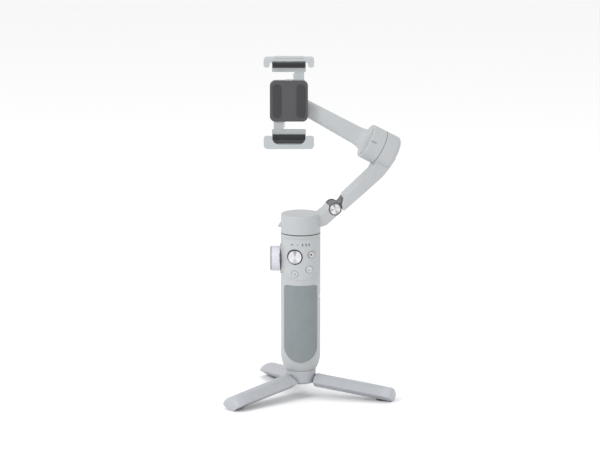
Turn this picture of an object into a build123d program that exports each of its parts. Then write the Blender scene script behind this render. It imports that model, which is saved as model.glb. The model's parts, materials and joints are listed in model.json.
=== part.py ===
from build123d import *
import os
from math import sin, cos, radians, pi, sqrt

# Three-axis phone stabilizer standing on its folding tripod, in millimetres.
# Origin: on the table under the handle's axis. +Z is up, the controls face -Y.

# handle
handle_r = 18.3
handle_wall = 2.0
handle_z0 = 26.3
handle_z1 = 154.5
taper_height = 14.0
taper_r = 14.1
skin = 1.2                 # thickness of the panel and of the grip insert
skin_gap = 0.1             # clearance round both of them
panel_half = 17.0
panel_z0 = 113.0
panel_z1 = 151.5
grip_half = 15.2
grip_z0 = 35.3
grip_z1 = 107.7
grip_proud = 0.25

# controls: x and z of each centre on the front of the handle
stick_xz = (-5.3, 134.9)
record_xz = (9.8, 136.8)
mode_xz = (7.8, 123.1)
power_xz = (-5.4, 118.9)
stick_r = 6.1
button_r = 3.2
button_gap = 0.15
knob_z = 130.4
knob_r = 11.6
knob_len = 10.2
trigger_half = 5.5
trigger_pivot = (14.0, 139.0)   # y and z of the trigger's pin
indicator_z = 146.3
indicator_marks = [(-7.9, 0.8), (1.8, 2.2), (5.0, 2.2), (7.8, 2.2)]   # x and height of each light
boss_r = 13.6
boss_proud = 1.0
cap_len = 2.0

# pan motor and lower arm; the arms lie in a vertical plane turned by arm_yaw
pan_z0 = 155.5
pan_z1 = 173.0
arm_yaw = 10.0
arm_half = 9.75
hinge_u = 30.5
hinge_z = 177.4
barrel_r = 5.6
cradle_r = 6.05
hinge_pin_r = 2.0
running_gap = 0.05

# tilt motor
drum_r = 16.4
seam_u = 73.4
seam_z = 232.4
tilt_angle = 152.0
cup_len = 15.5
drum_len = 13.0
seam_gap = 0.5
cover_outline = [(44.0, 183.5), (43.6, 188.6), (66.5, 209.4), (70.5, 212.5), (74.6, 209.6),
                 (72.4, 206.6), (58.6, 194.6)]

# roll motor and clamp
clamp_x = -10.8
clamp_z = 277.0
phone_half = 36.0
roll_r = 17.0
pinion_r = 4.0
pinion_teeth = 12

# jaws: widths and heights count from the clamp's centre
jaw_half = 23.1
lip_y0 = -9.6
lip_y1 = -6.8
roof_y1 = 5.0
rear_y0 = 3.6
rear_y1 = 8.4
rear_half = 15.5
slider_y0 = 4.1
slider_y1 = 6.3
slider_x0 = 4.9
slider_x1 = 14.0
upper_size = {"top": 41.2, "lip": 33.2, "arch": 39.4, "arch_half": 13.4, "arch_r": 4.1, "corner": 2.6}
lower_size = {"top": 42.5, "lip": 30.5, "arch": 38.3, "arch_half": 9.0, "arch_r": 6.4, "corner": 3.6}

# motors: shared radii of the shaft, the bearings and the stator's post
shaft_r = 2.5
bearing_r = 5.0
post_r = 6.3
tooth_count = 12

# tripod
hub_r = 14.1
leg_r = 14.0
leg_half_angle = 56.4
leg_core_r = 3.8
leg_len = 81.5
leg_slope = 7.7
leg_pivot_r = 8.7
leg_pivot_z = 17.6
leg_pin_r = 1.2
leg_azimuths = {"right": -15.0, "left": -136.5, "rear": 109.0}


def disc(r, z0, z1):
    """Upright round bar between two heights."""
    return Pos(0, 0, z0) * Cylinder(r, z1 - z0, align=(Align.CENTER, Align.CENTER, Align.MIN))


def ring(r_out, r_in, z0, z1):
    return disc(r_out, z0, z1) - disc(r_in, z0 - 1, z1 + 1)


def block(x0, x1, y0, y1, z0, z1):
    return Pos((x0 + x1) / 2, (y0 + y1) / 2, (z0 + z1) / 2) * Box(x1 - x0, y1 - y0, z1 - z0)


def prism(plane, points, depth_from, depth_to):
    """Straight-sided outline on a plane, extruded between two depths along its normal."""
    face = make_face(Polyline(*points, close=True))
    return extrude(plane.offset(depth_from) * face, depth_to - depth_from)


front = Plane(origin=(0, 0, 0), x_dir=(1, 0, 0), z_dir=(0, -1, 0))    # sketch is x, z
side = Plane(origin=(0, 0, 0), x_dir=(0, 1, 0), z_dir=(1, 0, 0))      # sketch is y, z
yaw = radians(arm_yaw)
arm_plane = Plane(origin=(0, 0, 0), x_dir=(cos(yaw), sin(yaw), 0), z_dir=(sin(yaw), -cos(yaw), 0))


def arm_point(u, z):
    return Vector(u * cos(yaw), u * sin(yaw), z)


def front_bar(r, x, z, y0, y1):
    """Round bar along Y from y0 to y1."""
    return extrude(front.offset(-y0) * Pos(x, z) * Circle(r), -(y1 - y0))


tilt_out = Vector(*(arm_point(cos(radians(tilt_angle)), 0) + Vector(0, 0, sin(radians(tilt_angle)))))
seam_centre = arm_point(seam_u, seam_z)
tilt_plane = Plane(origin=seam_centre, x_dir=arm_plane.z_dir, z_dir=tilt_out)   # faces the clamp


def tilt_disc(r, s0, s1):
    """Round bar on the tilt axis; s counts from the seam towards the clamp."""
    return extrude(tilt_plane.offset(s0) * Circle(r), s1 - s0)


# ---------------------------------------------------------------- handle

def handle_profile(r, z0, z1, r_base):
    """Turned body: straight wall, then a soft taper into the base."""
    outline = make_face([
        Line((0, z0), (r_base, z0)),
        Spline((r_base, z0), (r - 1.1, z0 + taper_height * 0.5), (r, z0 + taper_height),
               tangents=[(0.75, 1), (0, 1)]),
        Line((r, z0 + taper_height), (r, z1)),
        Line((r, z1), (0, z1)),
        Line((0, z1), (0, z0)),
    ])
    return revolve(Plane.XZ * outline, Axis.Z)


def panel_outline(grow):
    """Front outline of the control panel: square top corners, deep U at the bottom."""
    half = panel_half + grow
    bottom = panel_z0 - grow
    top = panel_z1 + grow
    height = 9.0 + grow
    return make_face([
        Line((-half, top), (half, top)),
        Line((half, top), (half, bottom + height)),
        EllipticalCenterArc((0, bottom + height), half, height, start_angle=180, arc_size=180),
        Line((-half, bottom + height), (-half, top)),
    ])


def grip_outline(grow):
    """Front outline of the grip insert: small top corners, full round bottom."""
    half = grip_half + grow
    bottom = grip_z0 - grow
    top = grip_z1 + grow
    height = 14.0 + grow
    face = make_face([
        Line((-half, top), (half, top)),
        Line((half, top), (half, bottom + height)),
        EllipticalCenterArc((0, bottom + height), half, height, start_angle=180, arc_size=180),
        Line((-half, bottom + height), (-half, top)),
    ])
    corners = face.vertices().sort_by(Axis.Y)[-2:]
    return fillet(corners, 3.0)


def front_skin(outline, r_out, r_in):
    """Curved skin that follows the handle, cut to an outline seen from the front."""
    column = extrude(front * outline, handle_r + 2)
    return column & ring(r_out, r_in, handle_z0, handle_z1)


def control_hole(xz, r):
    return front_bar(r, xz[0], xz[1], -handle_r - 2, -handle_r + 10)


def control_holes(grow):
    holes = control_hole(stick_xz, stick_r + 1.1 + grow)
    for xz in (record_xz, mode_xz, power_xz):
        holes += control_hole(xz, button_r + button_gap + grow)
    return holes


def handle_shell():
    body = handle_profile(handle_r, handle_z0, handle_z1, taper_r)
    hollow = handle_profile(handle_r - handle_wall, handle_z0 + 3.0, handle_z1 - 3.0,
                            taper_r - handle_wall)
    body -= hollow
    body -= disc(12.0, handle_z1 - 4, handle_z1 + 1)            # seat of the pan motor's base
    body -= disc(6.2, handle_z0 - 1, handle_z0 + 4)             # tripod socket
    body -= front_skin(panel_outline(skin_gap), handle_r + 1, handle_r - skin - skin_gap)
    body -= front_skin(grip_outline(skin_gap), handle_r + 1, handle_r - skin - skin_gap)
    body -= control_holes(0.6)
    body -= block(-9.0, 9.0, -handle_r, -14.0, indicator_z - 1.6, indicator_z + 1.6)
    for side_sign in (-1, 1):
        cheek_x = side_sign * 7.0
        body += block(cheek_x - 0.9, cheek_x + 0.9, 11.5, 16.0, 136.0, 142.0)
    body -= block(-6.0, 6.0, 10.0, handle_r + 1, 112.0, 143.0)              # trigger window
    body -= trigger_bar(1.05, 8.0)
    body -= Pos(-handle_r, 0, knob_z) * Rot(0, 90, 0) * Cylinder(4.2, 10)   # wheel shaft hole
    body -= block(handle_r - 4, handle_r + 1, -5.0, 5.0, 92.4, 96.6)        # charging port
    return body


def control_panel():
    skin_part = front_skin(panel_outline(0), handle_r, handle_r - skin)
    skin_part -= control_holes(0)
    skin_part -= side_bar(4.2, -30, -10)                        # wheel shaft hole
    for x, height in indicator_marks:
        skin_part -= block(x - 0.55, x + 0.55, -handle_r - 1, -handle_r + 4,
                           indicator_z - height / 2 - 0.05, indicator_z + height / 2 + 0.05)
    return skin_part


def indicator_lights():
    """Light pipes: a dash and three upright bars, flush with the panel."""
    bars = []
    tube = ring(handle_r - 0.02, handle_r - 3.0, indicator_z - 3, indicator_z + 3)
    for x, height in indicator_marks:
        bar = block(x - 0.5, x + 0.5, -handle_r - 1, -handle_r + 4,
                    indicator_z - height / 2, indicator_z + height / 2)
        bars.append((bar & tube).solids()[0])
    return Compound(bars)


def grip_insert():
    return front_skin(grip_outline(0), handle_r + grip_proud, handle_r - skin)


def inner_chassis():
    """Moulded frame inside the handle: two rails, shelves and the cell's cradle."""
    frame = block(-11.5, 11.5, 6.9, 9.6, 36.0, 110.0)
    for z in (36.0, 107.0):
        frame += disc(14.6, z, z + 2.4) & block(-15, 15, -9.5, 9.6, z, z + 2.4)
    frame += block(-11.5, -9.9, -6.0, 9.6, 36.0, 110.0)
    frame += block(9.9, 11.5, -6.0, 9.6, 36.0, 110.0)
    return frame


def battery_cell():
    cell = Pos(0, -2.6, 0) * disc(9.2, 39.5, 104.5)
    return chamfer(cell.edges().filter_by(GeomType.CIRCLE), 0.6)


def main_board():
    board = block(-9.0, 9.0, 9.8, 11.0, 45.0, 100.0)
    for z in (52.0, 66.0, 84.0):
        board += block(-3.5, 3.5, 11.0, 12.0, z, z + 7.0)
    board += block(9.0, 11.4, 9.8, 11.0, 90.0, 99.0)
    return board


def button_board():
    """Board behind the panel that carries the switches and the stick's base."""
    return block(-12.0, 12.0, -9.3, -8.1, 113.0, 150.0)


def charging_port():
    """Oval metal shell with a tongue, mouth facing +X."""
    mouth = Plane(origin=(11.7, 0, 94.5), x_dir=(0, 1, 0), z_dir=(1, 0, 0))
    shell = extrude(mouth * SlotOverall(9.0, 3.3), 5.8)
    shell -= extrude(mouth.offset(0.8) * SlotOverall(8.4, 2.7), 8)
    shell += extrude(mouth.offset(0.4) * Rectangle(6.4, 0.7), 4.6)
    return shell


def base_thread_insert():
    """Brass bush with a quarter-inch hole in the handle's foot."""
    return ring(6.15, 3.25, handle_z0 + 0.3, handle_z0 + 7.5)


def tripod_hub():
    """Round head of the tripod: stud, flange and three forked leg seats."""
    hub = disc(hub_r, 13.2, 26.0)
    hub = fillet(hub.edges().filter_by(GeomType.CIRCLE).sort_by(Axis.Z)[0], 3.0)
    hub += disc(3.15, 25.5, 32.5)
    for azimuth in leg_azimuths.values():
        hub -= Rot(0, 0, azimuth) * leg_slot()
    return hub


def leg_slot():
    """Space in the hub where a leg's knuckle turns, with the hole for its pin."""
    slot = block(leg_pivot_r - 4.4, hub_r + 2, -4.15, 4.15, 10.0, 21.5)
    slot += tangent_bar(leg_pin_r, 6.6)
    return slot


def tangent_bar(r, half):
    """Bar along the tangent (Y) through a leg's pivot, before turning to its azimuth."""
    bar = Cylinder(r, 2 * half)
    return Pos(leg_pivot_r, 0, leg_pivot_z) * Rot(90, 0, 0) * bar


def leg_pins():
    pins = [Rot(0, 0, a) * tangent_bar(leg_pin_r, 6.5) for a in leg_azimuths.values()]
    return Compound([p.solids()[0] for p in pins])


def leg_place(part, azimuth):
    """Swings a leg modelled hanging straight down out to its open, sloping place."""
    pivot = Axis((leg_pivot_r, 0, leg_pivot_z), (0, 1, 0))
    return Rot(0, 0, azimuth) * part.rotate(pivot, -(90.0 - leg_slope))


def wedge(r_out, r_in, half_angle, z0, z1):
    """Third-of-a-cylinder block between two radii, centred on +X."""
    a = radians(half_angle)
    face = make_face([
        Line((r_in * cos(a), -r_in * sin(a)), (r_out * cos(a), -r_out * sin(a))),
        ThreePointArc((r_out * cos(a), -r_out * sin(a)), (r_out, 0), (r_out * cos(a), r_out * sin(a))),
        Line((r_out * cos(a), r_out * sin(a)), (r_in * cos(a), r_in * sin(a))),
        Line((r_in * cos(a), r_in * sin(a)), (r_in * cos(a), -r_in * sin(a))),
    ])
    return Pos(0, 0, z0) * extrude(face, z1 - z0)


def tripod_leg(azimuth):
    """Hollow wedge with a solid nose, a knuckle at its root and a seat for the foot pad."""
    z_root = leg_pivot_z - 6.2
    z_tip = leg_pivot_z - leg_len
    leg = wedge(leg_r, leg_core_r, leg_half_angle, z_tip, z_root)
    nose = [e for e in leg.edges().filter_by(GeomType.CIRCLE) if e.center().Z < z_tip + 1]
    leg = fillet(nose, 4.0)
    leg -= wedge(leg_r - 2.0, 0.5, leg_half_angle - 9.0, z_tip + 20.0, z_root - 3.0)
    knuckle = Pos(leg_pivot_r, 0, leg_pivot_z) * Rot(90, 0, 0) * Cylinder(3.6, 8.0)
    knuckle += block(leg_pivot_r - 3.4, leg_pivot_r + 3.4, -4.0, 4.0, z_root - 1.5, leg_pivot_z)
    leg += knuckle
    leg -= tangent_bar(leg_pin_r + running_gap, 6.0)
    leg -= foot_seat(0.0)
    return leg_place(leg, azimuth)


def foot_seat(shrink):
    """Wedge along the leg's inner edge near the tip, where the rubber foot sits."""
    z_tip = leg_pivot_z - leg_len
    return wedge(6.4 - shrink, 0.6, 52.0, z_tip + 1.4 + shrink, z_tip + 16.0 - shrink)


def foot_pad(azimuth):
    pad = leg_place(foot_seat(0.0), azimuth)
    return pad & block(-120, 120, -120, 120, 0.0, 40.0)


# ---------------------------------------------------------------- controls

def joystick_base():
    """Cup behind the stick, with bearings for the yoke's pins."""
    x, z = stick_xz
    cup = front_bar(7.1, x, z, -15.2, -9.4)
    cup -= front_bar(5.6, x, z, -16.0, -10.4)
    cup -= Pos(x, -12.6, z) * Rot(0, 90, 0) * Cylinder(0.75, 16)
    return cup


def joystick_yoke():
    """Small frame that rocks about X and carries the stick's cross pin."""
    x, z = stick_xz
    yoke = block(x - 3.4, x + 3.4, -13.6, -11.6, z - 2.6, z + 2.6)
    yoke += Pos(x, -12.6, z) * Rot(0, 90, 0) * Cylinder(0.7, 12.6)
    yoke -= block(x - 2.2, x + 2.2, -14.0, -11.0, z - 1.7, z + 1.7)
    yoke -= Pos(x, -12.6, z) * Cylinder(0.55, 8)
    return yoke


def joystick_cap():
    x, z = stick_xz
    cap = front_bar(stick_r, x, z, -19.0, -17.6)
    cap = fillet(cap.edges().filter_by(GeomType.CIRCLE).sort_by(Axis.Y)[0], 0.5)
    cap += front_bar(1.2, x, z, -17.8, -11.8)
    cap += Pos(x, -12.6, z) * Cylinder(0.5, 5.0)
    return cap


def push_button(xz):
    """Round button that stands slightly proud of the panel."""
    x, z = xz
    face_y = -sqrt(handle_r ** 2 - x ** 2)
    button = front_bar(button_r, x, z, face_y - 0.45, -12.0)
    return fillet(button.edges().filter_by(GeomType.CIRCLE).sort_by(Axis.Y)[0], 0.3)


def side_bar(r, x0, x1, z=knob_z):
    """Round bar along X on the wheel's axis."""
    bar = Cylinder(r, x1 - x0, align=(Align.CENTER, Align.CENTER, Align.MIN))
    return Pos(x0, 0, z) * Rot(0, 90, 0) * bar


def wheel_boss():
    """Shallow seat that swells out of the handle's side under the wheel."""
    boss = Pos(-boss_proud, 0, 0) * disc(handle_r, knob_z - boss_r, knob_z + boss_r)
    boss &= side_bar(boss_r, -30, -9)
    boss &= block(-30, 0, -9.0, 20.0, knob_z - boss_r, knob_z + boss_r)
    boss -= disc(handle_r + 0.01, knob_z - 20, knob_z + 20)
    return boss - side_bar(4.2, -30, 0)


def wheel_encoder():
    body = block(-15.4, -12.6, -5.0, 5.0, knob_z - 5.0, knob_z + 5.0)
    return body - side_bar(4.1, -30, 0)


def wheel_knob():
    """Grip rim and shaft of the focus wheel."""
    x_out = -handle_r - knob_len
    rim = side_bar(knob_r, x_out + cap_len, -handle_r - boss_proud - 0.3)
    return rim + side_bar(4.05, -20.0, -12.8)


def wheel_cap():
    x_out = -handle_r - knob_len
    cap = side_bar(knob_r - 0.2, x_out, x_out + cap_len)
    return fillet(cap.edges().filter_by(GeomType.CIRCLE).sort_by(Axis.X)[0], 1.7)


def trigger_bar(r, half):
    return Pos(0, trigger_pivot[0], trigger_pivot[1]) * Rot(0, 90, 0) * Cylinder(r, 2 * half)


def trigger():
    """Curved lever under the forefinger, hinged at its top."""
    y, z = trigger_pivot
    face = make_face([
        Spline((17.6, z + 1.5), (18.6, z - 8.0), (20.9, z - 21.0)),
        Line((20.9, z - 21.0), (19.4, z - 23.0)),
        Spline((19.4, z - 23.0), (16.6, z - 12.0), (15.6, z - 2.0)),
        Line((15.6, z - 2.0), (17.6, z + 1.5)),
    ])
    lever = extrude(side.offset(-trigger_half) * face, 2 * trigger_half)
    lever += trigger_bar(2.2, trigger_half)
    lever += block(-trigger_half, trigger_half, y, y + 3.4, z - 2.0, z + 1.2)
    return lever - trigger_bar(1.0 + running_gap, 12)


def trigger_pin():
    return trigger_bar(1.0, 7.8)


# ---------------------------------------------------------------- motors

def stator_teeth(r_out, r_core, r_bore, length):
    """Laminated core on Z: a ring, spokes wound with wire, and pole shoes."""
    core = ring(r_core, r_bore, 0, length)
    for i in range(tooth_count):
        turn = Rot(0, 0, 360.0 / tooth_count * i)
        core += turn * block(r_core - 0.4, r_out - 0.5, -0.9, 0.9, 0.4, length - 0.4)
        shoe = ring(r_out, r_out - 0.9, 0.4, length - 0.4) & block(0, r_out + 1, -2.4, 2.4, 0, length)
        core += turn * shoe
    return core


def rotor_cup(r_out, r_in, skirt, floor, shaft_len):
    """Rotor on Z, open downwards: skirt, closed top and a shaft."""
    cup = ring(r_out, r_in, 0, skirt) + disc(r_out, skirt, skirt + floor)
    return cup + disc(shaft_r, skirt - shaft_len, skirt + 0.5)


def bearing_pair(z_low, z_high, width=3.0):
    rings = [ring(bearing_r - 0.02, shaft_r + running_gap, z, z + width) for z in (z_low, z_high)]
    return Compound([r.solids()[0] for r in rings])


def pan_motor_base():
    """Dark ring in the seam under the pan housing, with the post that holds the stator."""
    base = ring(11.9, bearing_r, handle_z1 - 3.8, handle_z1 + 0.1)
    base += ring(17.5, bearing_r, handle_z1, pan_z0 - 0.3)
    return base + ring(post_r, bearing_r, pan_z0 - 0.5, pan_z0 + 10.1)


def pan_stator():
    return Pos(0, 0, 156.6) * stator_teeth(12.6, 8.6, 6.35, 8.0)


def pan_rotor():
    return Pos(0, 0, 156.0) * rotor_cup(16.2, 13.1, 12.0, 2.4, 17.0)


def pan_bearings():
    return bearing_pair(151.2, 162.2)


def arm_bar(r, v0, v1, u=hinge_u, z=hinge_z):
    """Round bar across the arm; v runs to the front side of the arm."""
    return extrude(arm_plane.offset(v0) * Pos(u, z) * Circle(r), v1 - v0)


# ---------------------------------------------------------------- pan housing and lower arm

def beam(points, corner, edge):
    """Arm beam on the arm plane: rounded outline, full depth, rounded long edges."""
    face = make_face(Polyline(*points, close=True))
    face = fillet(face.vertices(), corner)
    bar = extrude(arm_plane.offset(-arm_half) * face, 2 * arm_half)
    rim = [e for e in bar.edges() if abs(abs(e.center().dot(arm_plane.z_dir)) - arm_half) < 0.01]
    return fillet(rim, edge)


def pan_housing():
    """Motor cap with the lower arm running out of it to the fold hinge."""
    arm = beam([(-4.0, 158.5), (19.0, 161.2), (23.3, 162.8), (26.6, 165.7), (37.6, 175.2),
                (34.0, 179.4), (25.0, 180.4), (21.0, 176.2), (16.6, 172.9), (-4.0, 172.4)], 1.3, 1.2)
    cap = disc(handle_r, pan_z0, pan_z1)
    cap = fillet(cap.edges().filter_by(GeomType.CIRCLE).sort_by(Axis.Z)[-1], 1.8)
    body = cap + arm
    body -= disc(16.25, pan_z0 - 1, pan_z0 + 15.0)
    body -= arm_bar(cradle_r, -arm_half - 1, arm_half + 1)
    body -= block(-20, -16.9, -2.9, 2.9, 157.4, 165.0)          # slot of the lock tab
    return body


def pan_lock_tab():
    """Small wedge that slides down to lock the pan motor."""
    tab = prism(front, [(-17.0, 160.2), (-20.9, 160.2), (-20.9, 161.2), (-18.6, 164.2),
                        (-17.0, 164.2)], -2.6, 2.6)
    return tab


def hinge_pin():
    return arm_bar(hinge_pin_r, -arm_half + 0.2, arm_half - 0.2)


def hinge_bezels():
    """Dark cheek rings that close the cradle on both faces of the lower arm."""
    rings = []
    for sign in (-1, 1):
        v0, v1 = sorted((sign * 8.0, sign * (arm_half + 0.1)))
        rings.append((arm_bar(cradle_r - 0.02, v0, v1) - arm_bar(hinge_pin_r, v0 - 1, v1 + 1)).solids()[0])
    return Compound(rings)


def hinge_caps():
    """Spun metal discs on the ends of the hinge."""
    caps = []
    for sign in (-1, 1):
        v0, v1 = sorted((sign * (arm_half + 0.1), sign * (arm_half + 0.8)))
        caps.append(arm_bar(4.8, v0, v1).solids()[0])
    return Compound(caps)


# ---------------------------------------------------------------- upper arm

def hinge_barrel():
    """Dark knuckle round the hinge pin, with the plate that closes the upper arm's end."""
    barrel = arm_bar(barrel_r, -7.8, 7.8)
    barrel += prism(arm_plane, [(32.0, 178.0), (36.6, 178.6), (37.2, 185.2), (36.0, 183.4),
                                (33.6, 181.6)], -7.8, 7.8)
    barrel += prism(arm_plane, [(37.0, 178.6), (36.5, 181.0), (37.9, 186.6), (39.2, 186.0),
                                (37.9, 180.8), (38.3, 178.9)], -7.8, 7.8)
    return barrel - arm_bar(hinge_pin_r + running_gap, -9, 9)


def upper_arm():
    """Tapering beam from the hinge to the cup that holds the tilt motor."""
    body = beam([(37.9, 176.1), (36.9, 181.0), (38.3, 186.2), (40.0, 189.5), (64.6, 211.9),
                 (67.0, 216.5), (73.0, 226.0), (82.0, 228.0), (87.6, 222.6), (80.9, 213.0),
                 (75.0, 205.9), (60.3, 193.1), (39.4, 175.4)], 0.9, 0.8)
    body -= tilt_disc(25, 0, 30)
    cup = tilt_disc(drum_r, -cup_len, 0)
    cup = fillet(cup.edges().filter_by(GeomType.CIRCLE).sort_by(Axis.X)[-1], 4.0)
    body += cup
    body -= tilt_disc(14.6, -12.6, 1.0)
    body -= prism(arm_plane, [(36.0, 178.4), (36.0, 188.0), (39.5, 187.0), (38.2, 180.8),
                              (38.6, 178.4)], -8.0, 8.0)
    body -= prism(arm_plane, cover_outline, -arm_half - 1, -arm_half + 1.6)
    return body


def arm_cover():
    """Flat lid on the rear face of the upper arm, over the motor's wires."""
    lid = prism(arm_plane, cover_outline, -arm_half + 0.1, -arm_half + 1.6)
    return lid


def on_tilt_axis(part, s=0.0):
    """Places a part modelled on Z onto the tilt axis."""
    return tilt_plane.offset(s).location * part


def tilt_stator():
    """Stator on its post, screwed to the bottom of the arm's cup."""
    post = ring(post_r, bearing_r, -12.5, 9.0) + ring(14.5, bearing_r, -12.5, -10.0)
    return on_tilt_axis(post + Pos(0, 0, 1.6) * stator_teeth(12.4, 8.6, 6.25, 7.0))


def tilt_bearings():
    return on_tilt_axis(bearing_pair(-11.5, 5.6))


# ---------------------------------------------------------------- roll arm

def roll_bar(r, y0, y1):
    return front_bar(r, clamp_x, clamp_z, y0, y1)


def roll_arm():
    """Tilt motor's drum, the neck that passes behind the phone and the roll motor's housing."""
    drum = tilt_disc(drum_r, seam_gap, drum_len + 1.0)
    drum = fillet(drum.edges().filter_by(GeomType.CIRCLE).sort_by(Axis.X)[0], 1.0)
    start = seam_centre + tilt_out * (drum_len + 0.6)
    end = Vector(clamp_x, 17.6, clamp_z)
    along = (end - start).normalized()
    across = along.cross(Vector(0, 1, 0)).normalized()
    sections = []
    for distance in (-6.0, 0.0, 1.5, 3.0, 5.0, 8.0, 12.0, 66.0):
        flare = 0.72 ** max(distance, 0.0)
        taper = 1.0 - distance / 400.0
        width = (17.0 + 10.0 * flare) * taper
        depth = (9.6 + 14.0 * flare) * taper
        plane = Plane(origin=start + along * distance, x_dir=across, z_dir=along)
        sections.append(plane * RectangleRounded(width, depth, depth * 0.42))
    neck = loft(sections, ruled=True)
    housing = roll_bar(roll_r, 9.4, 25.2)
    housing = fillet(housing.edges().filter_by(GeomType.CIRCLE).sort_by(Axis.Y)[-1], 1.0)
    body = drum + neck + housing
    body -= tilt_disc(14.95, 0, 12.2)
    body -= roll_bar(15.0, 0, 23.0)
    body -= roll_bar(bearing_r, 20.0, 30.0)
    body += roll_bar(post_r, 13.0, 24.0) - roll_bar(bearing_r, 12.0, 30.0)
    return body


def roll_rear_cap():
    cap = roll_bar(15.6, 25.2, 26.6)
    cap = fillet(cap.edges().filter_by(GeomType.CIRCLE).sort_by(Axis.Y)[-1], 0.9)
    return cap


def tilt_rotor():
    return on_tilt_axis(rotor_cup(14.9, 12.9, 9.6, 2.0, 21.0), 0.6)


def on_roll_axis(part, y):
    """Places a part modelled on Z onto the roll axis, its top towards the phone."""
    return Plane(origin=(clamp_x, y, clamp_z), x_dir=(1, 0, 0), z_dir=(0, -1, 0)).location * part


def roll_stator():
    return on_roll_axis(stator_teeth(12.2, 8.6, 6.35, 7.0), 21.0)


def roll_bearings():
    return on_roll_axis(bearing_pair(-24.6, -16.4), 0)


def roll_rotor():
    """Rotor cup whose closed face is screwed to the clamp's base."""
    cup = rotor_cup(14.6, 12.8, 9.4, 2.0, 12.8)
    cup += disc(6.0, 11.3, 12.9)
    return on_roll_axis(cup, 21.4)


# ---------------------------------------------------------------- clamp

def clamp_block(x0, x1, y0, y1, z0, z1):
    """Block whose x and z are counted from the clamp's centre."""
    return block(clamp_x + x0, clamp_x + x1, y0, y1, clamp_z + z0, clamp_z + z1)


def clamp_base():
    """Body behind the phone with two slideways, the pinion's pocket and its post."""
    base = clamp_block(-17.5, 17.5, 3.9, 8.5, -19.0, 19.0)
    base = fillet(base.edges().filter_by(Axis.Y), 5.0)
    for sign in (-1, 1):
        x0, x1 = sorted((sign * 3.3, sign * 14.3))
        base -= clamp_block(x0, x1, 3.0, 6.5, -20.0, 20.0)
    base -= roll_bar(5.2, 3.0, 6.5)
    for z in (-13.0, 13.0):
        base -= front_bar(3.7, clamp_x, clamp_z + z, 3.0, 6.5)
    return base + roll_bar(1.2, 3.9, 6.6)


def clamp_plate():
    """Front lid of the clamp, between the base and the pads."""
    plate = clamp_block(-17.5, 17.5, 2.4, 3.85, -19.0, 19.0)
    return fillet(plate.edges().filter_by(Axis.Y), 5.0)


def clamp_pads():
    """Two rubber strips that the phone's back rests on."""
    pads = []
    for x in (-11.0, 11.0):
        pad = clamp_block(x - 3.5, x + 3.5, 1.5, 2.4, -15.0, 15.0)
        pads.append(fillet(pad.edges().filter_by(Axis.Y), 2.5).solids()[0])
    return Compound(pads)


def clamp_springs():
    """Rolled strip springs that pull the jaws together."""
    rolls = []
    for z in (-13.0, 13.0):
        roll = front_bar(3.1, clamp_x, clamp_z + z, 4.2, 6.3)
        roll -= front_bar(1.6, clamp_x, clamp_z + z, 3.0, 7.0)
        rolls.append(roll.solids()[0])
    return Compound(rolls)


def tooth_prism(tip, root, width_at_tip, width_at_root, y0, y1):
    """One straight tooth standing on x = root and pointing towards tip."""
    return prism(front, [(root, -width_at_root / 2), (tip, -width_at_tip / 2),
                         (tip, width_at_tip / 2), (root, width_at_root / 2)], -y1, -y0)


def sync_pinion():
    """Small gear that makes both jaws move the same distance."""
    gear = front_bar(3.2, 0, 0, 4.2, 6.2)
    for i in range(pinion_teeth):
        tooth = tooth_prism(4.55, 3.0, 0.55, 1.15, 4.2, 6.2)
        gear += Rot(0, 360.0 / pinion_teeth * i, 0) * tooth
    gear -= front_bar(1.2 + running_gap, 0, 0, 3, 8)
    return Pos(clamp_x, 0, clamp_z) * gear


def jaw(sign):
    """Upper jaw (sign 1) or lower jaw (-1): hooked lip, roof, rear wall and toothed slider."""
    size = upper_size if sign > 0 else lower_size
    top = size["top"]
    body = block(-jaw_half, jaw_half, lip_y0, roof_y1, phone_half + 1.5, top)
    body += block(-jaw_half, jaw_half, lip_y0, lip_y1, size["lip"], top)
    top_corners = [e for e in body.edges().filter_by(Axis.Y)
                   if abs(e.center().X) > jaw_half - 0.1 and e.center().Z > top - 0.1]
    body = fillet(top_corners, size["corner"])
    arch_side = size["arch_half"] + size["arch_r"]
    arch = block(-arch_side, arch_side, lip_y0 - 1, lip_y1 + 1, size["lip"] - 1, size["arch"])
    arch_corners = [e for e in arch.edges().filter_by(Axis.Y) if e.center().Z > size["arch"] - 0.1]
    body -= fillet(arch_corners, size["arch_r"])
    hook_corners = [e for e in body.edges().filter_by(Axis.Y) if e.center().Z < size["lip"] + 0.1]
    body = fillet(hook_corners, 2.4)
    if sign > 0:
        body += block(-13.0, 13.0, lip_y0 + 1.6, roof_y1 - 1.5, top - 1, top + 0.8)
    body += block(-rear_half, rear_half, rear_y0, rear_y1, 27.0, top - 1.4)
    body += block(slider_x0, slider_x1, slider_y0, slider_y1, -11.5, 28.0)
    pitch = 2 * pi * pinion_r / pinion_teeth
    for i in range(-5, 12):
        tooth = tooth_prism(3.5, slider_x0 + 0.1, 0.5, 1.05, slider_y0, slider_y1)
        body += Pos(0, 0, pitch * (i + 0.5)) * tooth
    return place_jaw(body, sign)


def place_jaw(part, sign):
    """Turns a lower jaw's part over, then moves it to the clamp's centre."""
    if sign < 0:
        part = part.rotate(Axis((0, 0, 0), (0, 1, 0)), 180)
    return Pos(clamp_x, 0, clamp_z) * part


def jaw_pads(sign):
    """Rubber lining on a jaw's roof and rear wall, with a strip behind each hook."""
    roof_z = phone_half + 1.5
    pad = block(-15.0, 15.0, lip_y1 + 0.2, rear_y0, roof_z - 1.4, roof_z)
    pad += block(-15.0, 15.0, rear_y0 - 1.2, rear_y0, roof_z - 6.5, roof_z - 1.0)
    parts = [pad.solids()[0]]
    for x in (-20.4, 20.4):
        strip = block(x - 1.6, x + 1.6, lip_y1, lip_y1 + 0.5, roof_z - 3.4, roof_z - 1.0)
        parts.append(strip.solids()[0])
    return place_jaw(Compound(parts), sign)


# ---------------------------------------------------------------- all nodes

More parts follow.
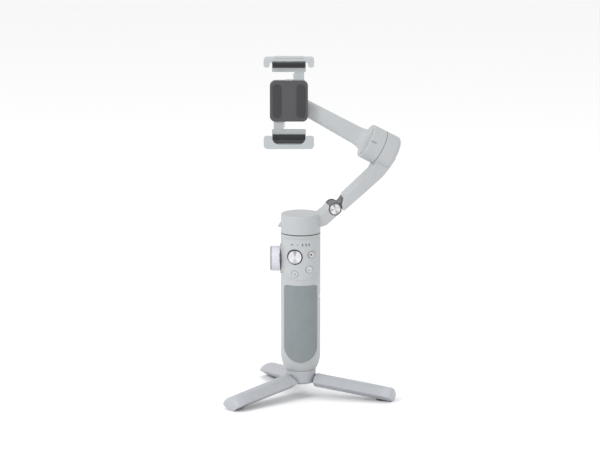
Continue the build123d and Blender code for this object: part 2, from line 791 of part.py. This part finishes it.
nodes = {
    "handle_shell": handle_shell,
    "control_panel": control_panel,
    "grip_insert": grip_insert,
    "indicator_lights": indicator_lights,
    "inner_chassis": inner_chassis,
    "battery_cell": battery_cell,
    "main_board": main_board,
    "button_board": button_board,
    "charging_port": charging_port,
    "base_thread_insert": base_thread_insert,
    "joystick_base": joystick_base,
    "joystick_yoke": joystick_yoke,
    "joystick_cap": joystick_cap,
    "record_button": lambda: push_button(record_xz),
    "mode_button": lambda: push_button(mode_xz),
    "power_button": lambda: push_button(power_xz),
    "wheel_boss": wheel_boss,
    "wheel_encoder": wheel_encoder,
    "wheel_knob": wheel_knob,
    "wheel_cap": wheel_cap,
    "trigger": trigger,
    "trigger_pin": trigger_pin,
    "tripod_hub": tripod_hub,
    "leg_pins": leg_pins,
    "pan_motor_base": pan_motor_base,
    "pan_stator": pan_stator,
    "pan_bearings": pan_bearings,
    "pan_rotor": pan_rotor,
    "pan_housing": pan_housing,
    "pan_lock_tab": pan_lock_tab,
    "hinge_pin": hinge_pin,
    "hinge_bezels": hinge_bezels,
    "hinge_caps": hinge_caps,
    "hinge_barrel": hinge_barrel,
    "upper_arm": upper_arm,
    "arm_cover": arm_cover,
    "tilt_stator": tilt_stator,
    "tilt_bearings": tilt_bearings,
    "tilt_rotor": tilt_rotor,
    "roll_arm": roll_arm,
    "roll_rear_cap": roll_rear_cap,
    "roll_stator": roll_stator,
    "roll_bearings": roll_bearings,
    "roll_rotor": roll_rotor,
    "clamp_base": clamp_base,
    "clamp_plate": clamp_plate,
    "clamp_pads": clamp_pads,
    "clamp_springs": clamp_springs,
    "sync_pinion": sync_pinion,
    "upper_jaw": lambda: jaw(1),
    "upper_jaw_pads": lambda: jaw_pads(1),
    "lower_jaw": lambda: jaw(-1),
    "lower_jaw_pads": lambda: jaw_pads(-1),
}
for leg_name, leg_azimuth in leg_azimuths.items():
    nodes[f"{leg_name}_leg"] = lambda a=leg_azimuth: tripod_leg(a)
    nodes[f"{leg_name}_foot_pad"] = lambda a=leg_azimuth: foot_pad(a)

os.makedirs("parts", exist_ok=True)
for node_name, make in nodes.items():
    export_step(make(), f"parts/{node_name}.step")
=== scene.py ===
import bpy, bmesh, json
from math import sin, cos, asin, pi, radians, degrees
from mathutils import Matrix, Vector


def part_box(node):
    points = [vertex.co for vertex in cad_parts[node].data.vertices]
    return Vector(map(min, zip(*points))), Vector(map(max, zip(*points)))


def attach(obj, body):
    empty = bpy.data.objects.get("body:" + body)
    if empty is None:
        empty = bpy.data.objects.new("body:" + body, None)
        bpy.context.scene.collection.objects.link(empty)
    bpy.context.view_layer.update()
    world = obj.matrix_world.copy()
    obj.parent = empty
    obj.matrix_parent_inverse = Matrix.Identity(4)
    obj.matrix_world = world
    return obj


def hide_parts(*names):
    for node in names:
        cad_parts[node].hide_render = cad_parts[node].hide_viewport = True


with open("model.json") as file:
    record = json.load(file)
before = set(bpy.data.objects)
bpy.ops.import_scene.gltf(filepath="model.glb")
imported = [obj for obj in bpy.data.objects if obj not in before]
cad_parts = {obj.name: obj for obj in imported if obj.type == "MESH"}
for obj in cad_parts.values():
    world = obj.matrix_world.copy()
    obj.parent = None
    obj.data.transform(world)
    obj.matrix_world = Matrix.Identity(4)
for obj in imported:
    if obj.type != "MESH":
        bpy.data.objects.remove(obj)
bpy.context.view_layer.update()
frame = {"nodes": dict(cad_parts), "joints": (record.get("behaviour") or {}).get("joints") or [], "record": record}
nodes = frame["nodes"]
print("frame loaded:", len(nodes), "nodes")


def boxOf(name):
    low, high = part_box(name)
    return Vector(low), Vector(high)


def jointOf(name):
    for joint in frame["joints"]:
        if joint["name"] == name:
            return joint


# --- shader maths: one wrapper for sockets, one method for any other node

class Wire:
    def __init__(self, shader, socket):
        self.shader = shader
        self.socket = socket

    def maths(self, kind, *values):
        return self.shader.maths(kind, *values)

    def __add__(self, other): return self.maths("ADD", self, other)
    def __radd__(self, other): return self.maths("ADD", other, self)
    def __sub__(self, other): return self.maths("SUBTRACT", self, other)
    def __rsub__(self, other): return self.maths("SUBTRACT", other, self)
    def __mul__(self, other): return self.maths("MULTIPLY", self, other)
    def __rmul__(self, other): return self.maths("MULTIPLY", other, self)
    def __truediv__(self, other): return self.maths("DIVIDE", self, other)
    def power(self, other): return self.maths("POWER", self, other)
    def sine(self): return self.maths("SINE", self)
    def atLeast(self, other): return self.maths("MAXIMUM", self, other)
    def atMost(self, other): return self.maths("MINIMUM", self, other)

    def ramp(self, low, high):
        return self.shader.add("ShaderNodeMapRange", {"interpolation_type": "SMOOTHSTEP"},
                               {"Value": self, "From Min": low, "From Max": high})


class Shader:
    def __init__(self, name):
        self.material = bpy.data.materials.new(name)
        self.material.use_nodes = True
        self.tree = self.material.node_tree
        self.main = self.tree.nodes["Principled BSDF"]
        self.place = None

    def add(self, kind, settings=None, values=None, output=0):
        node = self.tree.nodes.new(kind)
        for key, value in (settings or {}).items():
            setattr(node, key, value)
        pairs = values.items() if isinstance(values, dict) else enumerate(values or [])
        for key, value in pairs:
            if value is None:
                continue
            if isinstance(value, Wire):
                self.tree.links.new(value.socket, node.inputs[key])
            else:
                node.inputs[key].default_value = value
        return Wire(self, node.outputs[output])

    def maths(self, kind, *values):
        return self.add("ShaderNodeMath", {"operation": kind}, values)

    def coords(self, scale=(1, 1, 1), centre=(0, 0, 0)):
        if self.place is None:
            self.place = self.add("ShaderNodeTexCoord", output="Object")
        moved = self.add("ShaderNodeVectorMath", {"operation": "SUBTRACT"}, [self.place, centre])
        return self.add("ShaderNodeMapping", None, {"Vector": moved, "Scale": scale})

    def noise(self, size, detail=3.0, rough=0.55, stretch=(1, 1, 1)):
        scale = [1.0 / (size * s) for s in stretch]
        return self.add("ShaderNodeTexNoise", None,
                        {"Vector": self.coords(scale), "Scale": 1.0, "Detail": detail, "Roughness": rough})

    def mix(self, factor, colourA, colourB):
        node = self.tree.nodes.new("ShaderNodeMix")
        node.data_type = "RGBA"
        for index, value in ((0, factor), (6, colourA), (7, colourB)):
            if isinstance(value, Wire):
                self.tree.links.new(value.socket, node.inputs[index])
            else:
                node.inputs[index].default_value = value if index == 0 else (*value[:3], 1.0)
        return Wire(self, node.outputs[2])

    def bump(self, height, depth, strength=1.0):
        return self.add("ShaderNodeBump", None, {"Height": height, "Distance": depth, "Strength": strength})

    def finish(self, **sockets):
        for key, value in sockets.items():
            name = key.replace("_", " ")
            if isinstance(value, Wire):
                self.tree.links.new(value.socket, self.main.inputs[name])
            else:
                self.main.inputs[name].default_value = value
        return self.material


# --- materials

def satinPlastic(name, colour, rough=0.42, grain=0.00022, depth=0.000012):
    s = Shader(name)
    spark = s.noise(grain, 2.0, 0.6)                 # spark-eroded mould texture
    haze = s.noise(0.018, 3.0, 0.5)                  # slow handling marks
    dark = [c * 0.965 for c in colour]
    base = s.mix(haze.ramp(0.35, 0.65), dark, colour)
    speck = s.mix(spark.ramp(0.62, 0.75) * 0.25, base, [min(1, c * 1.06) for c in colour])
    return s.finish(Base_Color=speck, Roughness=haze * 0.10 + spark * 0.06 + (rough - 0.08),
                    Normal=s.bump(spark, depth), Specular_IOR_Level=0.5)


def softRubber(name, colour, pitch=0.0009):
    s = Shader(name)
    cells = s.add("ShaderNodeTexVoronoi", {"feature": "F1"},
                  {"Vector": s.coords([1 / pitch] * 3), "Scale": 1.0, "Randomness": 0.55})
    haze = s.noise(0.012, 3.0)
    dust = s.noise(0.0015, 2.0)
    base = s.mix(haze.ramp(0.3, 0.7), [c * 0.93 for c in colour], colour)
    dusty = s.mix(dust.ramp(0.55, 0.8) * 0.12, base, [c * 1.25 for c in colour])
    return s.finish(Base_Color=dusty, Roughness=haze * 0.08 + 0.66,
                    Normal=s.bump(cells.ramp(0.0, 0.6), 0.00006, 0.6), Sheen_Weight=0.08)


def groundSteel(name, colour, rough=0.28, stretch=(1, 1, 14)):
    s = Shader(name)
    lines = s.noise(0.0004, 4.0, 0.6, stretch)
    return s.finish(Base_Color=s.mix(lines, [c * 0.8 for c in colour], colour), Metallic=1.0,
                    Roughness=lines * 0.16 + rough, Normal=s.bump(lines, 0.000006))


def wireCopper(name):
    s = Shader(name)
    turns = s.noise(0.0006, 2.0, 0.5, (1, 1, 0.3))
    return s.finish(Base_Color=s.mix(turns, (0.30, 0.10, 0.04), (0.72, 0.34, 0.15)), Metallic=0.9,
                    Roughness=turns * 0.15 + 0.25, Normal=s.bump(turns, 0.00006))


def circuitGreen(name):
    s = Shader(name)
    blot = s.noise(0.004, 2.0)
    return s.finish(Base_Color=s.mix(blot.ramp(0.4, 0.6), (0.015, 0.10, 0.05), (0.02, 0.16, 0.08)),
                    Roughness=blot * 0.1 + 0.25, Normal=s.bump(blot, 0.00002))


def batteryFilm(name):
    s = Shader(name)
    wrinkle = s.noise(0.003, 4.0, 0.6, (1, 1, 0.4))
    return s.finish(Base_Color=s.mix(wrinkle, (0.02, 0.10, 0.22), (0.04, 0.17, 0.34)),
                    Roughness=wrinkle * 0.15 + 0.18, Normal=s.bump(wrinkle, 0.00005))


def spunDisc(name, centre, axis, paintedGlints, colour=(0.70, 0.70, 0.73), ringPitch=0.00011):
    s = Shader(name)                                 # turned face: fine rings, and cone-shaped glints painted into the colour as dark wedges
    side = Vector(axis).normalized()
    u = Vector((0, 0, 1)).cross(side).normalized()
    v = side.cross(u)
    spot = s.coords(centre=centre)
    along = s.add("ShaderNodeVectorMath", {"operation": "DOT_PRODUCT"}, [spot, tuple(u)], "Value")
    upward = s.add("ShaderNodeVectorMath", {"operation": "DOT_PRODUCT"}, [spot, tuple(v)], "Value")
    angle = s.maths("ARCTAN2", upward, along)
    radius = s.maths("SQRT", along * along + upward * upward)
    rings = (radius * (2 * pi / ringPitch)).sine() * 0.5 + 0.5
    shade = rings * 0.10
    # painted reflection: each angle cone darkens the base colour where the turned face would not catch the light
    for bearing, sharp, depth in paintedGlints:
        facing = (angle + (pi / 2 - radians(bearing))).sine().atLeast(0.0)
        shade = shade + facing.power(sharp) * depth
    return s.finish(Base_Color=s.mix(shade.atMost(1.0), colour, [c * 0.22 for c in colour]), Metallic=0.25,
                    Roughness=rings * 0.08 + 0.30, Normal=s.bump(rings, 0.000008))


def tripodPlastic(name, colour, noseHighlightStart, noseHighlightFade=0.006):
    s = Shader(name)
    grain = s.noise(0.00025, 2.0, 0.6)
    streak = s.noise(0.006, 3.0, 0.5)
    flat = s.add("ShaderNodeVectorMath", {"operation": "MULTIPLY"}, [s.coords(), (1, 1, 0)])
    reach = s.add("ShaderNodeVectorMath", {"operation": "LENGTH"}, [flat], "Value")
    base = s.mix(streak.ramp(0.3, 0.7), [c * 0.95 for c in colour], colour)
    # painted highlight: the leg ends past the start radius are painted lighter
    base = s.mix(reach.ramp(noseHighlightStart, noseHighlightStart + noseHighlightFade) * 0.40, base, [c * 1.22 for c in colour])
    return s.finish(Base_Color=base, Roughness=streak * 0.10 + grain * 0.05 + 0.34,
                    Normal=s.bump(grain, 0.000012))


tones = {
    "body": (0.408, 0.424, 0.434),
    "panel": (0.418, 0.436, 0.448),
    "grip": (0.205, 0.230, 0.240),
    "clamp": (0.395, 0.418, 0.428),
    "tripod": (0.368, 0.382, 0.408),
    "button": (0.465, 0.478, 0.490),
    "dark": (0.090, 0.092, 0.096),
    # painted highlight: the knurl's pale, bluish tone stands in for the light its diamonds catch
    "knurlHighlight": (0.660, 0.665, 0.730),
    "cap": (0.340, 0.352, 0.362),
    # print tones; the dark and faint ones also serve as painted shade in the buttons' groove rings
    "print": (0.150, 0.152, 0.158),
    "faintPrintAndGrooveShade": (0.300, 0.308, 0.316),
    "recordRed": (0.130, 0.034, 0.044),
    # painted shade tone for the legs' grooves and dimple
    "legRecessShade": (0.270, 0.282, 0.305),
}

stickJoint = jointOf("stick_left_right")
foldJoint = jointOf("arm_fold")
finishes = {
    "body_shell": satinPlastic("bodyPlastic", tones["body"]),
    "front_panel": satinPlastic("panelPlastic", tones["panel"], rough=0.38),
    "grip_rubber": softRubber("gripRubber", tones["grip"]),
    "light_pipe": satinPlastic("lightPipe", (0.10, 0.11, 0.11), rough=0.25),
    "inner_plastic": satinPlastic("innerPlastic", (0.06, 0.06, 0.065), rough=0.55),
    "battery_wrap": batteryFilm("cellFilm"),
    "circuit_board": circuitGreen("boardGreen"),
    "bright_steel": groundSteel("brightSteel", (0.68, 0.68, 0.70)),
    "brass_bush": groundSteel("brassBush", (0.76, 0.56, 0.26)),
    # the angle list paints the joystick's reflection cones into its colour
    "spun_metal": spunDisc("spunStick", stickJoint["pos_m"], (0, -1, 0),
                           [(90, 16, 0.75), (270, 7, 0.42), (20, 4, 0.12), (160, 4, 0.12)]),
    "button_grey": satinPlastic("buttonPlastic", tones["button"], rough=0.36),
    # painted highlight on the knurled rim, carried in its pale tone
    "knurled_grip": satinPlastic("knurlHighlightPlastic", tones["knurlHighlight"], rough=0.40),
    "cap_grey": satinPlastic("capPlastic", tones["cap"], rough=0.34),
    "dark_ring": satinPlastic("darkRing", tones["dark"], rough=0.45),
    "motor_copper": wireCopper("windingCopper"),
    "motor_steel": groundSteel("motorSteel", (0.40, 0.40, 0.42), 0.35),
    "clamp_grey": satinPlastic("clampPlastic", tones["clamp"], rough=0.40),
    "pad_rubber": softRubber("padRubber", (0.030, 0.031, 0.033), 0.0012),
    "gear_nylon": satinPlastic("gearNylon", (0.74, 0.72, 0.66), rough=0.45),
    # 0.078 m is the radius where the painted highlight on the leg ends begins
    "tripod_grey": tripodPlastic("tripodPlastic", tones["tripod"], 0.078),
}


def dress(piece, material):
    piece.data.materials.clear()
    piece.data.materials.append(material)


for entry in frame["record"]["subparts"]:
    dress(nodes[entry["node"]], finishes[entry["material_slot"]])
hingeCentre = foldJoint["pos_m"]
# the angle list paints the hinge caps' reflection cones into their colour
dress(nodes["hinge_caps"], spunDisc("spunHinge", hingeCentre, foldJoint["axis"],
                                    [(105, 14, 0.75), (190, 12, 0.60), (300, 10, 0.65), (30, 8, 0.3)]))
print("materials done")


# --- pieces laid on the model

markProud = 0.00003                                 # printed marks and painted-shade marks stand this far off the plastic
tinyHole = 0.00001                                   # a closed disc still needs an inner radius

def makePiece(name, bm, material, body):
    bmesh.ops.recalc_face_normals(bm, faces=bm.faces)
    mesh = bpy.data.meshes.new(name)
    bm.to_mesh(mesh)
    bm.free()
    mesh.shade_smooth()
    mesh.set_sharp_from_angle(angle=radians(35))
    mesh.materials.append(material)
    piece = bpy.data.objects.new(name, mesh)
    bpy.context.scene.collection.objects.link(piece)
    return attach(piece, body)


def slab(bm, spot, uSpan, vSpan, wSpan, cutsU=1, cutsV=1):
    sheet = bmesh.ops.create_grid(bm, x_segments=cutsU, y_segments=cutsV, size=1.0)["verts"]
    faces = list({face for vert in sheet for face in vert.link_faces})
    lifted = bmesh.ops.extrude_face_region(bm, geom=faces, use_keep_orig=True)["geom"]
    top = [part for part in lifted if isinstance(part, bmesh.types.BMVert)]
    bmesh.ops.translate(bm, verts=top, vec=(0, 0, 1))
    for vert in sheet + top:
        u = uSpan[0] + (vert.co.x + 1) / 2 * (uSpan[1] - uSpan[0])
        v = vSpan[0] + (vert.co.y + 1) / 2 * (vSpan[1] - vSpan[0])
        w = wSpan[0] + vert.co.z * (wSpan[1] - wSpan[0])
        vert.co = spot(u, v, w)                      # bends the flat block onto the face


def turned(bm, centre, axis, outline, start=0.0, sweep=360.0, steps=48):
    axis = Vector(axis).normalized()
    across = Vector((0, 0, 1)) if abs(axis.z) < 0.9 else Vector((1, 0, 0))
    side = axis.cross(across).normalized()
    lift = side.cross(axis)
    arm = side * cos(radians(start)) + lift * sin(radians(start))
    verts = [bm.verts.new(Vector(centre) + arm * r + axis * h) for r, h in outline]
    face = bm.faces.new(verts)
    edges = list(face.edges)
    if sweep >= 360.0:
        bmesh.ops.delete(bm, geom=[face], context="FACES_ONLY")
        bmesh.ops.spin(bm, geom=edges, cent=centre, axis=axis, angle=2 * pi, steps=steps, use_merge=True)
    else:
        bmesh.ops.spin(bm, geom=[face] + edges, cent=centre, axis=-axis, angle=radians(sweep), steps=steps)


handleR = boxOf("handle_shell")[1].x


def onHandle(x, z, lift):
    turn = asin(x / handleR)
    return Vector(((handleR + lift) * sin(turn), -(handleR + lift) * cos(turn), z))


# knurled rim of the side wheel, with its shaft

rim = {"around": 104, "along": 16, "bite": 0.00030, "chamfer": 0.0004, "gap": 0.0003,
       "shaft": 0.0040, "overlap": 0.0002, "merge": 0.000005, "shaftMerge": 0.000001}


def buildRim():
    low, high = boxOf("wheel_knob")
    radius = (high.z - low.z) / 2
    centre = (high.z + low.z) / 2
    inner = boxOf("wheel_boss")[0].x - rim["gap"]
    bm = bmesh.new()
    bmesh.ops.create_grid(bm, x_segments=rim["around"], y_segments=rim["along"], size=1.0)
    for vert in bm.verts:
        i = round((vert.co.x + 1) / 2 * rim["around"])
        j = round((vert.co.y + 1) / 2 * rim["along"])
        dip = rim["bite"] * ((i + j) % 2)            # alternate peaks and valleys make the diamonds
        if j in (0, rim["along"]):
            dip = rim["chamfer"]
        turn = 2 * pi * i / rim["around"]
        x = low.x + (inner - low.x) * j / rim["along"]
        vert.co = (x, (radius - dip) * sin(turn), centre + (radius - dip) * cos(turn))
    bmesh.ops.remove_doubles(bm, verts=bm.verts, dist=rim["merge"])
    bmesh.ops.holes_fill(bm, edges=[e for e in bm.edges if e.is_boundary])
    shaft, back, end = rim["shaft"], -rim["overlap"], high.x - inner
    turned(bm, (inner, 0, centre), (1, 0, 0), [(0.0, back), (shaft, back), (shaft, end), (0.0, end)])
    bmesh.ops.remove_doubles(bm, verts=bm.verts, dist=rim["shaftMerge"])
    piece = makePiece("wheelRim", bm, finishes["knurled_grip"], "wheel")
    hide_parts("wheel_knob")


buildRim()


# rings of painted shade in the buttons' edge grooves, and small printed marks on the three buttons

marks = {"ringIn": 0.00275, "ringOut": 0.00305, "sunk": 0.0001, "dot": 0.00095,
         "modeArc": (0.0007, 0.0012, 190.0, 160.0), "powerArc": (0.0005, 0.0010, 120.0, 300.0)}
# print tones, also used as painted shade in the buttons' groove rings
darkPrintAndGrooveShade = satinPlastic("darkPrintAndGrooveShade", tones["print"], rough=0.35)
faintPrintAndGrooveShade = satinPlastic("faintPrintAndGrooveShade", tones["faintPrintAndGrooveShade"], rough=0.35)
recordRed = satinPlastic("recordRed", tones["recordRed"], rough=0.30)


def buttonFace(name):
    low, high = boxOf(name)
    return Vector(((low.x + high.x) / 2, low.y, (low.z + high.z) / 2))


def flatRing(bm, centre, inner, outer, start=0.0, sweep=360.0):
    top, bottom = markProud, -marks["sunk"]
    outline = [(inner, bottom), (outer, bottom), (outer, top), (inner, top)]
    turned(bm, centre, (0, -1, 0), outline, start, sweep)


def buttonMark(name, button, material, inner, outer, start=0.0, sweep=360.0):
    bm = bmesh.new()
    flatRing(bm, buttonFace(button), inner, outer, start, sweep)
    makePiece(name, bm, material, button)


def buildButtonMarks():
    for button, material in (("record_button", darkPrintAndGrooveShade), ("mode_button", faintPrintAndGrooveShade),
                             ("power_button", faintPrintAndGrooveShade)):
        # painted shade: each ring darkens the groove round the button's face
        buttonMark(button + "Ring", button, material, marks["ringIn"], marks["ringOut"])
    buttonMark("recordDot", "record_button", recordRed, tinyHole, marks["dot"])
    buttonMark("modeMark", "mode_button", darkPrintAndGrooveShade, *marks["modeArc"])
    buttonMark("powerMark", "power_button", darkPrintAndGrooveShade, *marks["powerArc"])


buildButtonMarks()


# marks between the lights on the panel

panelMarks = {"dash": (-0.0091, -0.0066), "dots": (-0.0040, -0.0029, -0.0018), "half": 0.00040,
              "dot": 0.00035, "depth": (-0.0002, markProud), "cuts": 6}


def buildPanelMarks():
    low, high = boxOf("indicator_lights")
    middle = (low.z + high.z) / 2
    half, reach, depth = panelMarks["half"], panelMarks["dot"], panelMarks["depth"]
    bm = bmesh.new()
    slab(bm, onHandle, panelMarks["dash"], (middle - half, middle + half), depth, panelMarks["cuts"])
    makePiece("dashLight", bm, darkPrintAndGrooveShade, "handle")
    bm = bmesh.new()
    for x in panelMarks["dots"]:
        slab(bm, onHandle, (x - reach, x + reach), (middle - reach, middle + reach), depth)
    makePiece("dotLights", bm, faintPrintAndGrooveShade, "handle")


buildPanelMarks()


# alignment mark on the tilt motor's drum

tick = {"drum": 0.0164, "from": 0.0078, "to": 0.0132, "turn": 11.3, "half": 0.00040,
        "depth": (-0.0002, markProud)}


def buildTick():
    joint = jointOf("tilt_turn")
    seam = Vector(joint["pos_m"])
    along = Vector(joint["axis"]).normalized()
    fore = Vector(foldJoint["axis"]).normalized()    # towards the controls' side
    rise = along.cross(fore).normalized()
    if rise.z < 0:
        rise = -rise

    def onDrum(s, across, lift):
        turn = radians(tick["turn"]) + across / tick["drum"]
        return seam + along * s + (fore * cos(turn) + rise * sin(turn)) * (tick["drum"] + lift)

    bm = bmesh.new()
    slab(bm, onDrum, (tick["from"], tick["to"]), (-tick["half"], tick["half"]), tick["depth"], 1, 2)
    makePiece("drumTick", bm, darkPrintAndGrooveShade, "tilt_head")


buildTick()


# lines and a dimple ring of painted shade, and a pin dot, on each leg

leg = {"radius": 0.014, "offset": 0.0087, "slope": 7.7, "lines": (-22.0, 22.0), "from": 0.022, "to": 0.064,
       "half": 0.00014, "lineDepth": (-0.0001, markProud), "markTop": 0.00005,
       "dimple": 0.0145, "dimpleRing": (0.0008, 0.00110), "dimpleSunk": 0.0001,
       "dot": (0.0074, 30.0), "dotRadius": 0.0005, "dotSunk": 0.0002}
# painted shade in the legs' grooves and dimple
legRecessShade = satinPlastic("legRecessShade", tones["legRecessShade"], rough=0.4)


def ringOutline(inner, outer, sunk):
    return [(inner, -sunk), (outer, -sunk), (outer, leg["markTop"]), (inner, leg["markTop"])]


def buildLegMarks(name):
    joint = jointOf(name + "_leg_fold")
    pivot = Vector(joint["pos_m"])
    flat = Vector((pivot.x, pivot.y, 0)).normalized()
    slope = radians(leg["slope"])
    out = flat * cos(slope) - Vector((0, 0, sin(slope)))
    up = flat * sin(slope) + Vector((0, 0, cos(slope)))
    side = Vector((-flat.y, flat.x, 0))

    def onLeg(reach, bearing, lift):
        turn = radians(bearing)
        radial = up * cos(turn) + side * sin(turn)
        return pivot + out * reach - up * leg["offset"] + radial * (leg["radius"] + lift), radial

    bm = bmesh.new()
    # painted shade: two thin darker lines stand in for the shade in the leg's grooves
    for bearing in leg["lines"]:
        slab(bm, lambda a, b, c: onLeg(a, bearing + degrees(b / leg["radius"]), c)[0],
             (leg["from"], leg["to"]), (-leg["half"], leg["half"]), leg["lineDepth"])
    # painted shade: a darker ring stands in for the shade at the dimple's rim
    place, normal = onLeg(leg["dimple"], 0.0, 0.0)
    turned(bm, place, normal, ringOutline(*leg["dimpleRing"], leg["dimpleSunk"]))
    makePiece(name + "LegRecessShade", bm, legRecessShade, name + "_leg")
    bm = bmesh.new()
    place, normal = onLeg(*leg["dot"], 0.0)
    turned(bm, place, normal, ringOutline(tinyHole, leg["dotRadius"], leg["dotSunk"]))
    makePiece(name + "LegDot", bm, darkPrintAndGrooveShade, name + "_leg")


for legName in ("right", "left", "rear"):
    buildLegMarks(legName)
print("marks done")


# --- studio

camera = {"elevation": 11.3, "lens": 260.0, "sensor": 36.0, "viewWidth": 0.5538,
          "look": (-0.0006, 0.0, 0.1616), "clipEnd": 50}
studio = {"backdrop": 0.97, "aim": (0, 0, 0.16), "floorHalf": 12, "floorColour": (0.93, 0.93, 0.935, 1),
          "lamps": (("keyLight", (-1.1, -1.0, 1.1), 0.6, 13), ("fillLight", (1.4, -0.6, 0.6), 0.6, 2),
                    ("topLight", (0.1, 0.3, 1.6), 0.8, 3))}


def buildStudio():
    up = radians(camera["elevation"])
    away = camera["viewWidth"] * camera["lens"] / camera["sensor"]
    cam = bpy.data.objects.new("camera", bpy.data.cameras.new("camera"))
    cam.data.lens = camera["lens"]
    cam.data.sensor_width = camera["sensor"]
    cam.data.clip_end = camera["clipEnd"]
    look = Vector(camera["look"])
    cam.location = look + Vector((0, -cos(up) * away, sin(up) * away))
    cam.rotation_euler = (pi / 2 - up, 0, 0)
    bpy.context.scene.collection.objects.link(cam)
    bpy.context.scene.camera = cam
    world = bpy.data.worlds.new("studio")
    world.use_nodes = True
    backdrop = world.node_tree.nodes["Background"]
    backdrop.inputs["Color"].default_value = (1.0, 1.0, 1.0, 1)
    backdrop.inputs["Strength"].default_value = studio["backdrop"]
    bpy.context.scene.world = world
    bpy.context.scene.view_settings.view_transform = "Standard"
    for name, place, size, power in studio["lamps"]:
        lamp = bpy.data.lights.new(name, "AREA")
        lamp.size = size
        lamp.energy = power
        holder = bpy.data.objects.new(name, lamp)
        holder.location = place
        toAim = Vector(studio["aim"]) - Vector(place)
        holder.rotation_euler = toAim.to_track_quat("-Z", "Y").to_euler()
        bpy.context.scene.collection.objects.link(holder)
    mesh = bpy.data.meshes.new("floor")
    bm = bmesh.new()
    bmesh.ops.create_grid(bm, x_segments=1, y_segments=1, size=studio["floorHalf"])
    bm.to_mesh(mesh)
    bm.free()
    floor = bpy.data.objects.new("floor", mesh)
    bpy.context.scene.collection.objects.link(floor)
    s = Shader("paleFloor")
    floor.data.materials.append(s.finish(Base_Color=studio["floorColour"], Roughness=0.9))


buildStudio()
print("studio done")
